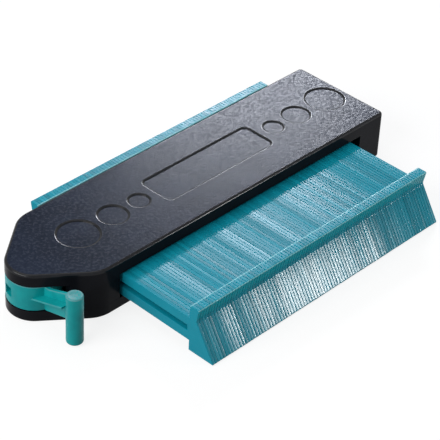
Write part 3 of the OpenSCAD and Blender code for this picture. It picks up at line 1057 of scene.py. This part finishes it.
def drum_cores():
    """The hollows moulded into the drum from above and below, beside its hub."""
    shift_x = DRUM_WALL * math.cos(DRUM_FACE)
    shift_y = DRUM_WALL * math.sin(DRUM_FACE)
    start = math.asin(DRUM_WALL / HUB_R)
    outer = half_disc(DRUM_R - 2 * DRUM_WALL)
    inner = arc((-shift_x, -shift_y), HUB_R, DRUM_TO - start, DRUM_FROM + start, HUB_STEPS)
    outline = [(PIVOT_X + shift_x + x, shift_y + y) for x, y in outer + inner]
    half = DRUM_FLOOR / 2
    lower = pillar(outline, DRUM_Z0 - CUT, DRUM_MID - half)
    upper = pillar(outline, DRUM_MID + half, DRUM_Z1 + CUT)
    return [lower, upper]


def arm_strip(outline, x0, x1, edge):
    """A strip of the arm from its outline in Y and Z, with rounded edges."""
    levels = rounded_span(x0, x1, edge, edge, SMALL_EDGE_STEPS)
    return loft([upright_at(evenly_inwards(outline, inset), x) for x, inset in levels])


def arm_web():
    """The upright web of the arm, level in the nose and then rising to the peg."""
    high = PEG_Z1 - ARM_DROP
    low = DRUM_Z0 + ARM_INSET
    low_end = low + high - DRUM_Z1 - ARM_GROWTH
    outline = [(-NOSE_R, low), (PEG_Y, low_end), (PEG_Y, high),
               (ARM_OUT_Y, DRUM_Z1), (ARM_ROOT_Y, DRUM_Z1), (ARM_ROOT_Y, low)]
    return arm_strip(outline[::-1], PEG_X, PEG_X + ARM_WEB, ARM_EDGE)


def arm_rib():
    """The sloping rib in front of the web."""
    end_y = PEG_Y + ARM_RIB_END
    nose_z = DRUM_MID + ARM_RIB_UP
    root_z = nose_z - (NOSE_R + ARM_ROOT_Y) * ARM_RIB_SLOPE
    end_z = nose_z - (NOSE_R + end_y) * ARM_RIB_SLOPE
    outline = [(ARM_ROOT_Y, root_z - ARM_RIB_T), (ARM_ROOT_Y, root_z),
               (end_y, end_z), (end_y, end_z - ARM_RIB_T)]
    return arm_strip(outline, PEG_X - ARM_RIB_W, PEG_X + ARM_WEB, ARM_RIB_EDGE)


def peg_form():
    """The upright finger peg with a dished top."""
    levels = [(z, PEG_R - inset) for z, inset in rounded_span(PEG_Z0, PEG_Z1, PEG_FOOT_R, PEG_TOP_R)]
    levels.append((PEG_Z1, PEG_RIM_R))
    levels.append((PEG_Z1 - PEG_DISH / 2, PEG_DISH_MID_R))
    levels.append((PEG_Z1 - PEG_DISH, PEG_DISH_END_R))
    return loft([flat_at(circle((PEG_X, PEG_Y), radius), z) for z, radius in levels])


def pocket_form():
    """The pocket in the drum's wall near the nose."""
    c, s = math.cos(POCKET_TURN), math.sin(POCKET_TURN)
    corners = rectangle(DRUM_R - POCKET_D, -POCKET_W / 2, DRUM_R + CUT, POCKET_W / 2)
    outline = [(PIVOT_X + x * c - y * s, x * s + y * c) for x, y in corners]
    return pillar(outline, DRUM_MID - POCKET_H / 2, DRUM_MID + POCKET_H / 2)


def lever(material):
    """The clamping lever: drum, cam, arm and finger peg in one piece."""
    obj = solid("clamp_lever", drum_form())
    cut(obj, *drum_cores())
    add(obj, arm_web())
    add(obj, arm_rib())
    add(obj, peg_form())
    cut(obj, post((PIVOT_X, 0), LEVER_BORE_R, DRUM_Z0 - CUT, DRUM_Z1 + CUT))
    cut(obj, pocket_form())
    dress(obj, "lever", "lever", material, "lever")


# Screws

def screw_form(place):
    """A pan head screw, head down, with its shank."""
    levels = [(SCREW_HEAD_Z + setback, SCREW_HEAD_R - depth) for depth, setback in rounding(SCREW_EDGE)][::-1]
    levels += [(SCREW_SEAT_Z, SCREW_HEAD_R), (SCREW_SEAT_Z, SCREW_R)]
    levels += [(screw_high.z - SCREW_R, SCREW_R), (screw_high.z, SCREW_TIP_R)]
    return loft([flat_at(circle(place, radius), z) for z, radius in levels])


def cross_arm(place, length, width):
    """One arm of a screw's cross recess, narrower at its bottom."""
    x, y = place
    mouth = rectangle(x - length / 2, y - width / 2, x + length / 2, y + width / 2)
    bottom = [(x + (px - x) * CROSS_TAPER, y + (py - y) * CROSS_TAPER) for px, py in mouth]
    return loft([flat_at(mouth, SCREW_HEAD_Z - CROSS_OUT), flat_at(bottom, SCREW_HEAD_Z + CROSS_D)])


def screws(material):
    """The four housing screws."""
    obj = solid("screw_set", *[screw_form(place) for place in SCREW_PLACES])
    for length, width in ((CROSS_L, CROSS_W), (CROSS_W, CROSS_L)):
        cut(obj, *[cross_arm(place, length, width) for place in SCREW_PLACES])
    dress(obj, "housing", "screws", material, "housing_screws")


# Stage

def camera_or_mirror(tree):
    """1 for rays from the camera and for mirrored or transmitted ones, otherwise 0."""
    path = node(tree, "ShaderNodeLightPath").outputs
    seen = larger(tree, path["Is Camera Ray"], path["Is Glossy Ray"])
    return larger(tree, seen, path["Is Transmission Ray"])


def floor():
    """A plain pale floor that shows white, keeps the shadow and is clear from below."""
    corners = flat_at(rectangle(-FLOOR_HALF, -FLOOR_HALF, FLOOR_HALF, FLOOR_HALF), -FLOOR_DROP)
    mesh = bpy.data.meshes.new("floor")
    mesh.from_pydata(corners, [], [(0, 1, 2, 3)])
    obj = in_scene("floor", mesh)
    obj.visible_diffuse = False
    obj.visible_shadow = False
    material = bpy.data.materials.new("floor_white")
    material.use_nodes = True
    tree = material.node_tree
    tree.nodes.clear()
    paint = node(tree, "ShaderNodeBsdfDiffuse", {"Color": (SHADOW_SHARE, SHADOW_SHARE, SHADOW_SHARE, 1)})
    glow = node(tree, "ShaderNodeEmission", {"Strength": FLOOR_GLOW})
    lit = node(tree, "ShaderNodeAddShader", {0: paint.outputs[0], 1: glow.outputs[0]})
    clear = node(tree, "ShaderNodeBsdfTransparent")
    below = node(tree, "ShaderNodeNewGeometry").outputs["Backfacing"]
    seen = node(tree, "ShaderNodeMixShader", {0: below, 1: lit.outputs[0], 2: clear.outputs[0]})
    node(tree, "ShaderNodeOutputMaterial", {"Surface": seen.outputs[0]})
    mesh.materials.append(material)


def world():
    """An even pale surround that shows white."""
    made = bpy.data.worlds.new("studio")
    made.use_nodes = True
    tree = made.node_tree
    level = math_node(tree, "MULTIPLY_ADD", camera_or_mirror(tree), 1 - WORLD_LIGHT, WORLD_LIGHT)
    surround = tree.nodes["Background"]
    surround.inputs["Color"].default_value = (1, 1, 1, 1)
    tree.links.new(level, surround.inputs["Strength"])
    bpy.context.scene.world = made


def soft_box(name, azimuth, elevation, distance, width, height, brightness, tint=(1, 1, 1)):
    """A lamp panel facing the object, with its place in degrees and its brightness per area."""
    a, e = math.radians(azimuth), math.radians(elevation)
    towards = Vector((math.cos(e) * math.cos(a), math.cos(e) * math.sin(a), math.sin(e)))
    data = bpy.data.lights.new(name, "AREA")
    data.shape = "RECTANGLE"
    data.size, data.size_y = width, height
    data.energy = brightness * math.pi * width * height
    data.color = tint
    obj = in_scene(name, data)
    obj.location = towards * distance
    obj.rotation_euler = towards.to_track_quat("Z", "Y").to_euler()


def camera():
    """The camera that took the photograph."""
    a, e, r = CAMERA_AZIMUTH, CAMERA_ELEVATION, CAMERA_ROLL
    back = Vector((math.sin(a) * math.cos(e), -math.cos(a) * math.cos(e), math.sin(e)))
    level = Vector((0, 0, 1)).cross(back).normalized()
    upright = back.cross(level)
    right = level * math.cos(r) + upright * math.sin(r)
    up = upright * math.cos(r) - level * math.sin(r)
    data = bpy.data.cameras.new("camera")
    data.sensor_width = SENSOR
    data.lens = FOCAL_PIXELS / IMAGE_SIZE * SENSOR
    obj = in_scene("camera", data)
    turn = Matrix((right, up, back)).transposed().to_4x4()
    place = right * CAMERA_RIGHT + up * CAMERA_UP + back * CAMERA_DISTANCE
    obj.matrix_world = Matrix.Translation(place) @ turn
    bpy.context.scene.camera = obj


def plain_nodes(material, *names):
    """CAD nodes that keep their own shape and get a material."""
    for name in names:
        mesh = frame["nodes"][name].data
        mesh.materials.clear()
        mesh.materials.append(material)


black = housing_side_material()
upper_housing(black, housing_top_material(), housing_edge_material())
lower_housing(black)
lamina_pairs(lamina_material())
lever(lever_material())
screws(steel_material("screw_steel", light=0.42, stretch=(1, 1, 1)))
plain_nodes(steel_material("pin_steel", light=0.62, stretch=(1, 1, 20)), "lever_pin")
rod_steel = steel_material("rod_steel", light=0.62, stretch=(40, 1, 1))
plain_nodes(rod_steel, "front_guide_rod", "back_guide_rod")
plain_nodes(clamp_material(), "clamp_plate")
floor()
world()
camera()
soft_box("back_box", azimuth=40.5, elevation=31.5, distance=1.2,
         width=0.26, height=0.07, brightness=85.0, tint=BACK_TINT)
soft_box("front_box", azimuth=-54.7, elevation=8, distance=0.8,
         width=0.075, height=0.08, brightness=80.0)
soft_box("left_box", azimuth=172, elevation=32, distance=0.9,
         width=0.7, height=0.5, brightness=5.0)
soft_box("top_box", azimuth=90, elevation=75, distance=1.0,
         width=0.7, height=0.7, brightness=1.1)
bpy.context.scene.view_settings.view_transform = "Standard"
